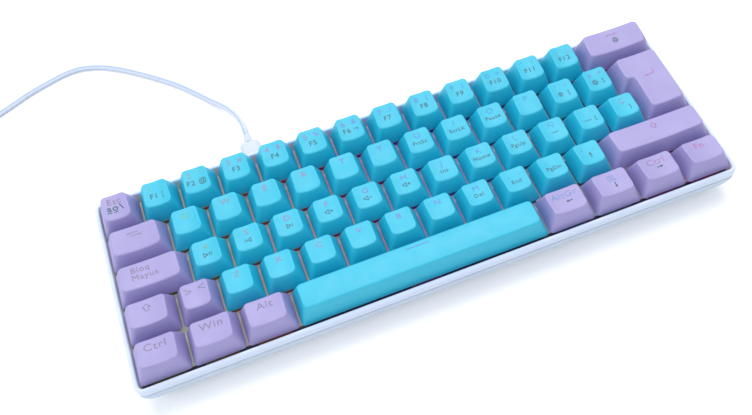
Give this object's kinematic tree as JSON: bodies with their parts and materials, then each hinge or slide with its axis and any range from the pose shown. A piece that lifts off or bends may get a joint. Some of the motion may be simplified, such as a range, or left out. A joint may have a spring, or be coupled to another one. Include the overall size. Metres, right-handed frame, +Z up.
{
  "type": "mechanical keyboard",
  "caption": "Compact backlit mechanical keyboard with turquoise and purple keycaps, a white two-shell case and a detachable braided cable.",
  "frame": {"origin": "On the table surface, under the middle of the keyboard's own bounding box. The cable, its coil and its plugs are left out of that box.", "axes": "+X to the right end of the keyboard as its user sees it, +Y to its back edge, +Z up. The key field slopes up to the back by 6 degrees."},
  "size_m": [0.3955, 0.2924, 0.039],
  "materials": {
    "case_white": "satin moulded plastic, cool white",
    "plate_white": "powder-coated white steel",
    "board_green": "solder resist over glass fibre",
    "chip_black": "moulded chip package",
    "led_lens": "clear-topped multicolour light",
    "socket_steel": "plated sheet steel",
    "switch_black": "moulded nylon",
    "switch_clear": "clear moulded plastic",
    "spring_steel": "bright spring wire",
    "stabilizer_white": "moulded nylon",
    "wire_steel": "bright steel wire",
    "screw_steel": "zinc-plated screws",
    "foot_rubber": "soft grey rubber",
    "plug_steel": "plated plug shells",
    "plug_white": "soft white overmould",
    "cable_braid": "tight white and silver-blue braid",
    "cap_turquoise": "fine matt moulded plastic",
    "cap_purple": "fine matt moulded plastic"
  },
  "bodies": {
    "keyboard": {"top_frame": "case_white", "bottom_case": "case_white", "switch_plate": "plate_white", "circuit_board": "board_green", "controller_chip": "chip_black", "backlight_leds": "led_lens", "usb_socket": "socket_steel", "switch_bases": "switch_black", "switch_tops": "switch_clear", "switch_springs": "spring_steel", "stabilizer_housings": "stabilizer_white", "case_screws": "screw_steel", "rubber_feet": "foot_rubber", "plug_shells": "plug_steel", "plug_grips": "plug_white", "cable": "cable_braid", "cable_coil": "cable_braid"},
    "key_enter": {"key_enter": "cap_purple"},
    "key_escape": {"key_escape": "cap_purple"},
    "keys_1_2": {"keys_1_2": "cap_turquoise"},
    "keys_3_4": {"keys_3_4": "cap_turquoise"},
    "keys_5_6": {"keys_5_6": "cap_turquoise"},
    "keys_7_8": {"keys_7_8": "cap_turquoise"},
    "keys_9_0": {"keys_9_0": "cap_turquoise"},
    "keys_f11_f12": {"keys_f11_f12": "cap_turquoise"},
    "key_backspace": {"key_backspace": "cap_purple"},
    "key_tab": {"key_tab": "cap_purple"},
    "keys_q_w": {"keys_q_w": "cap_turquoise"},
    "keys_e_r": {"keys_e_r": "cap_turquoise"},
    "keys_t_y": {"keys_t_y": "cap_turquoise"},
    "keys_u_i": {"keys_u_i": "cap_turquoise"},
    "keys_o_p": {"keys_o_p": "cap_turquoise"},
    "keys_brackets": {"keys_brackets": "cap_turquoise"},
    "key_caps_lock": {"key_caps_lock": "cap_purple"},
    "keys_a_s": {"keys_a_s": "cap_turquoise"},
    "keys_d_f": {"keys_d_f": "cap_turquoise"},
    "keys_g_h": {"keys_g_h": "cap_turquoise"},
    "keys_j_k": {"keys_j_k": "cap_turquoise"},
    "keys_l_n_tilde": {"keys_l_n_tilde": "cap_turquoise"},
    "keys_braces": {"keys_braces": "cap_turquoise"},
    "key_left_shift": {"key_left_shift": "cap_purple"},
    "key_angle": {"key_angle": "cap_purple"},
    "keys_z_x": {"keys_z_x": "cap_turquoise"},
    "keys_c_v": {"keys_c_v": "cap_turquoise"},
    "keys_b_n": {"keys_b_n": "cap_turquoise"},
    "keys_m_comma": {"keys_m_comma": "cap_turquoise"},
    "keys_dot_dash": {"keys_dot_dash": "cap_turquoise"},
    "key_right_shift": {"key_right_shift": "cap_purple"},
    "key_left_ctrl": {"key_left_ctrl": "cap_purple"},
    "key_win": {"key_win": "cap_purple"},
    "key_alt": {"key_alt": "cap_purple"},
    "key_space": {"key_space": "cap_turquoise"},
    "key_alt_gr": {"key_alt_gr": "cap_purple"},
    "key_menu": {"key_menu": "cap_purple"},
    "key_right_ctrl": {"key_right_ctrl": "cap_purple"},
    "key_fn": {"key_fn": "cap_purple"},
    "wire_backspace": {"wire_backspace": "wire_steel"},
    "wire_enter": {"wire_enter": "wire_steel"},
    "wire_right_shift": {"wire_right_shift": "wire_steel"},
    "wire_space": {"wire_space": "wire_steel"}
  },
  "joints": [
    {"name": "press_enter", "type": "slide", "parent": "keyboard", "child": "key_enter", "axis": [0, 0.1045, -0.9945], "range_m": [0, 0.004], "stiffness_N_per_m": 75, "springref_m": -0.004, "deforming": ["switch_springs"]},
    {"name": "press_escape", "type": "slide", "parent": "keyboard", "child": "key_escape", "axis": [0, 0.1045, -0.9945], "range_m": [0, 0.004], "stiffness_N_per_m": 75, "springref_m": -0.004, "deforming": ["switch_springs"]},
    {"name": "press_1_2", "type": "slide", "parent": "keyboard", "child": "keys_1_2", "axis": [0, 0.1045, -0.9945], "range_m": [0, 0.004], "stiffness_N_per_m": 150, "springref_m": -0.004, "deforming": ["switch_springs"]},
    {"name": "press_3_4", "type": "slide", "parent": "keyboard", "child": "keys_3_4", "axis": [0, 0.1045, -0.9945], "range_m": [0, 0.004], "stiffness_N_per_m": 150, "springref_m": -0.004, "deforming": ["switch_springs"]},
    {"name": "press_5_6", "type": "slide", "parent": "keyboard", "child": "keys_5_6", "axis": [0, 0.1045, -0.9945], "range_m": [0, 0.004], "stiffness_N_per_m": 150, "springref_m": -0.004, "deforming": ["switch_springs"]},
    {"name": "press_7_8", "type": "slide", "parent": "keyboard", "child": "keys_7_8", "axis": [0, 0.1045, -0.9945], "range_m": [0, 0.004], "stiffness_N_per_m": 150, "springref_m": -0.004, "deforming": ["switch_springs"]},
    {"name": "press_9_0", "type": "slide", "parent": "keyboard", "child": "keys_9_0", "axis": [0, 0.1045, -0.9945], "range_m": [0, 0.004], "stiffness_N_per_m": 150, "springref_m": -0.004, "deforming": ["switch_springs"]},
    {"name": "press_f11_f12", "type": "slide", "parent": "keyboard", "child": "keys_f11_f12", "axis": [0, 0.1045, -0.9945], "range_m": [0, 0.004], "stiffness_N_per_m": 150, "springref_m": -0.004, "deforming": ["switch_springs"]},
    {"name": "press_backspace", "type": "slide", "parent": "keyboard", "child": "key_backspace", "axis": [0, 0.1045, -0.9945], "range_m": [0, 0.004], "stiffness_N_per_m": 75, "springref_m": -0.004, "deforming": ["switch_springs"]},
    {"name": "press_tab", "type": "slide", "parent": "keyboard", "child": "key_tab", "axis": [0, 0.1045, -0.9945], "range_m": [0, 0.004], "stiffness_N_per_m": 75, "springref_m": -0.004, "deforming": ["switch_springs"]},
    {"name": "press_q_w", "type": "slide", "parent": "keyboard", "child": "keys_q_w", "axis": [0, 0.1045, -0.9945], "range_m": [0, 0.004], "stiffness_N_per_m": 150, "springref_m": -0.004, "deforming": ["switch_springs"]},
    {"name": "press_e_r", "type": "slide", "parent": "keyboard", "child": "keys_e_r", "axis": [0, 0.1045, -0.9945], "range_m": [0, 0.004], "stiffness_N_per_m": 150, "springref_m": -0.004, "deforming": ["switch_springs"]},
    {"name": "press_t_y", "type": "slide", "parent": "keyboard", "child": "keys_t_y", "axis": [0, 0.1045, -0.9945], "range_m": [0, 0.004], "stiffness_N_per_m": 150, "springref_m": -0.004, "deforming": ["switch_springs"]},
    {"name": "press_u_i", "type": "slide", "parent": "keyboard", "child": "keys_u_i", "axis": [0, 0.1045, -0.9945], "range_m": [0, 0.004], "stiffness_N_per_m": 150, "springref_m": -0.004, "deforming": ["switch_springs"]},
    {"name": "press_o_p", "type": "slide", "parent": "keyboard", "child": "keys_o_p", "axis": [0, 0.1045, -0.9945], "range_m": [0, 0.004], "stiffness_N_per_m": 150, "springref_m": -0.004, "deforming": ["switch_springs"]},
    {"name": "press_brackets", "type": "slide", "parent": "keyboard", "child": "keys_brackets", "axis": [0, 0.1045, -0.9945], "range_m": [0, 0.004], "stiffness_N_per_m": 150, "springref_m": -0.004, "deforming": ["switch_springs"]},
    {"name": "press_caps_lock", "type": "slide", "parent": "keyboard", "child": "key_caps_lock", "axis": [0, 0.1045, -0.9945], "range_m": [0, 0.004], "stiffness_N_per_m": 75, "springref_m": -0.004, "deforming": ["switch_springs"]},
    {"name": "press_a_s", "type": "slide", "parent": "keyboard", "child": "keys_a_s", "axis": [0, 0.1045, -0.9945], "range_m": [0, 0.004], "stiffness_N_per_m": 150, "springref_m": -0.004, "deforming": ["switch_springs"]},
    {"name": "press_d_f", "type": "slide", "parent": "keyboard", "child": "keys_d_f", "axis": [0, 0.1045, -0.9945], "range_m": [0, 0.004], "stiffness_N_per_m": 150, "springref_m": -0.004, "deforming": ["switch_springs"]},
    {"name": "press_g_h", "type": "slide", "parent": "keyboard", "child": "keys_g_h", "axis": [0, 0.1045, -0.9945], "range_m": [0, 0.004], "stiffness_N_per_m": 150, "springref_m": -0.004, "deforming": ["switch_springs"]},
    {"name": "press_j_k", "type": "slide", "parent": "keyboard", "child": "keys_j_k", "axis": [0, 0.1045, -0.9945], "range_m": [0, 0.004], "stiffness_N_per_m": 150, "springref_m": -0.004, "deforming": ["switch_springs"]},
    {"name": "press_l_n_tilde", "type": "slide", "parent": "keyboard", "child": "keys_l_n_tilde", "axis": [0, 0.1045, -0.9945], "range_m": [0, 0.004], "stiffness_N_per_m": 150, "springref_m": -0.004, "deforming": ["switch_springs"]},
    {"name": "press_braces", "type": "slide", "parent": "keyboard", "child": "keys_braces", "axis": [0, 0.1045, -0.9945], "range_m": [0, 0.004], "stiffness_N_per_m": 150, "springref_m": -0.004, "deforming": ["switch_springs"]},
    {"name": "press_left_shift", "type": "slide", "parent": "keyboard", "child": "key_left_shift", "axis": [0, 0.1045, -0.9945], "range_m": [0, 0.004], "stiffness_N_per_m": 75, "springref_m": -0.004, "deforming": ["switch_springs"]},
    {"name": "press_angle", "type": "slide", "parent": "keyboard", "child": "key_angle", "axis": [0, 0.1045, -0.9945], "range_m": [0, 0.004], "stiffness_N_per_m": 75, "springref_m": -0.004, "deforming": ["switch_springs"]},
    {"name": "press_z_x", "type": "slide", "parent": "keyboard", "child": "keys_z_x", "axis": [0, 0.1045, -0.9945], "range_m": [0, 0.004], "stiffness_N_per_m": 150, "springref_m": -0.004, "deforming": ["switch_springs"]},
    {"name": "press_c_v", "type": "slide", "parent": "keyboard", "child": "keys_c_v", "axis": [0, 0.1045, -0.9945], "range_m": [0, 0.004], "stiffness_N_per_m": 150, "springref_m": -0.004, "deforming": ["switch_springs"]},
    {"name": "press_b_n", "type": "slide", "parent": "keyboard", "child": "keys_b_n", "axis": [0, 0.1045, -0.9945], "range_m": [0, 0.004], "stiffness_N_per_m": 150, "springref_m": -0.004, "deforming": ["switch_springs"]},
    {"name": "press_m_comma", "type": "slide", "parent": "keyboard", "child": "keys_m_comma", "axis": [0, 0.1045, -0.9945], "range_m": [0, 0.004], "stiffness_N_per_m": 150, "springref_m": -0.004, "deforming": ["switch_springs"]},
    {"name": "press_dot_dash", "type": "slide", "parent": "keyboard", "child": "keys_dot_dash", "axis": [0, 0.1045, -0.9945], "range_m": [0, 0.004], "stiffness_N_per_m": 150, "springref_m": -0.004, "deforming": ["switch_springs"]},
    {"name": "press_right_shift", "type": "slide", "parent": "keyboard", "child": "key_right_shift", "axis": [0, 0.1045, -0.9945], "range_m": [0, 0.004], "stiffness_N_per_m": 75, "springref_m": -0.004, "deforming": ["switch_springs"]},
    {"name": "press_left_ctrl", "type": "slide", "parent": "keyboard", "child": "key_left_ctrl", "axis": [0, 0.1045, -0.9945], "range_m": [0, 0.004], "stiffness_N_per_m": 75, "springref_m": -0.004, "deforming": ["switch_springs"]},
    {"name": "press_win", "type": "slide", "parent": "keyboard", "child": "key_win", "axis": [0, 0.1045, -0.9945], "range_m": [0, 0.004], "stiffness_N_per_m": 75, "springref_m": -0.004, "deforming": ["switch_springs"]},
    {"name": "press_alt", "type": "slide", "parent": "keyboard", "child": "key_alt", "axis": [0, 0.1045, -0.9945], "range_m": [0, 0.004], "stiffness_N_per_m": 75, "springref_m": -0.004, "deforming": ["switch_springs"]},
    {"name": "press_space", "type": "slide", "parent": "keyboard", "child": "key_space", "axis": [0, 0.1045, -0.9945], "range_m": [0, 0.004], "stiffness_N_per_m": 75, "springref_m": -0.004, "deforming": ["switch_springs"]},
    {"name": "press_alt_gr", "type": "slide", "parent": "keyboard", "child": "key_alt_gr", "axis": [0, 0.1045, -0.9945], "range_m": [0, 0.004], "stiffness_N_per_m": 75, "springref_m": -0.004, "deforming": ["switch_springs"]},
    {"name": "press_menu", "type": "slide", "parent": "keyboard", "child": "key_menu", "axis": [0, 0.1045, -0.9945], "range_m": [0, 0.004], "stiffness_N_per_m": 75, "springref_m": -0.004, "deforming": ["switch_springs"]},
    {"name": "press_right_ctrl", "type": "slide", "parent": "keyboard", "child": "key_right_ctrl", "axis": [0, 0.1045, -0.9945], "range_m": [0, 0.004], "stiffness_N_per_m": 75, "springref_m": -0.004, "deforming": ["switch_springs"]},
    {"name": "press_fn", "type": "slide", "parent": "keyboard", "child": "key_fn", "axis": [0, 0.1045, -0.9945], "range_m": [0, 0.004], "stiffness_N_per_m": 75, "springref_m": -0.004, "deforming": ["switch_springs"]},
    {"name": "wire_backspace_turn", "type": "hinge", "parent": "keyboard", "child": "wire_backspace", "pos_m": [0.12383, 0.03098, 0.01726], "axis": [-1, 0, 0], "range_deg": [0, 28.1]},
    {"name": "wire_enter_turn", "type": "hinge", "parent": "keyboard", "child": "wire_enter", "pos_m": [0.13897, 0.01052, 0.01511], "axis": [0, -0.9945, -0.1045], "range_deg": [0, 28.1]},
    {"name": "wire_right_shift_turn", "type": "hinge", "parent": "keyboard", "child": "wire_right_shift", "pos_m": [0.11668, -0.02586, 0.01129], "axis": [-1, 0, 0], "range_deg": [0, 28.1]},
    {"name": "wire_space_turn", "type": "hinge", "parent": "keyboard", "child": "wire_space", "pos_m": [-0.01191, -0.0448, 0.0093], "axis": [-1, 0, 0], "range_deg": [0, 28.1]}
  ],
  "couplings": [
    {"joint": "wire_backspace_turn", "follows": "press_backspace", "rad_per_m": 122.17},
    {"joint": "wire_enter_turn", "follows": "press_enter", "rad_per_m": 122.17},
    {"joint": "wire_right_shift_turn", "follows": "press_right_shift", "rad_per_m": 122.17},
    {"joint": "wire_space_turn", "follows": "press_space", "rad_per_m": 122.17}
  ]
}
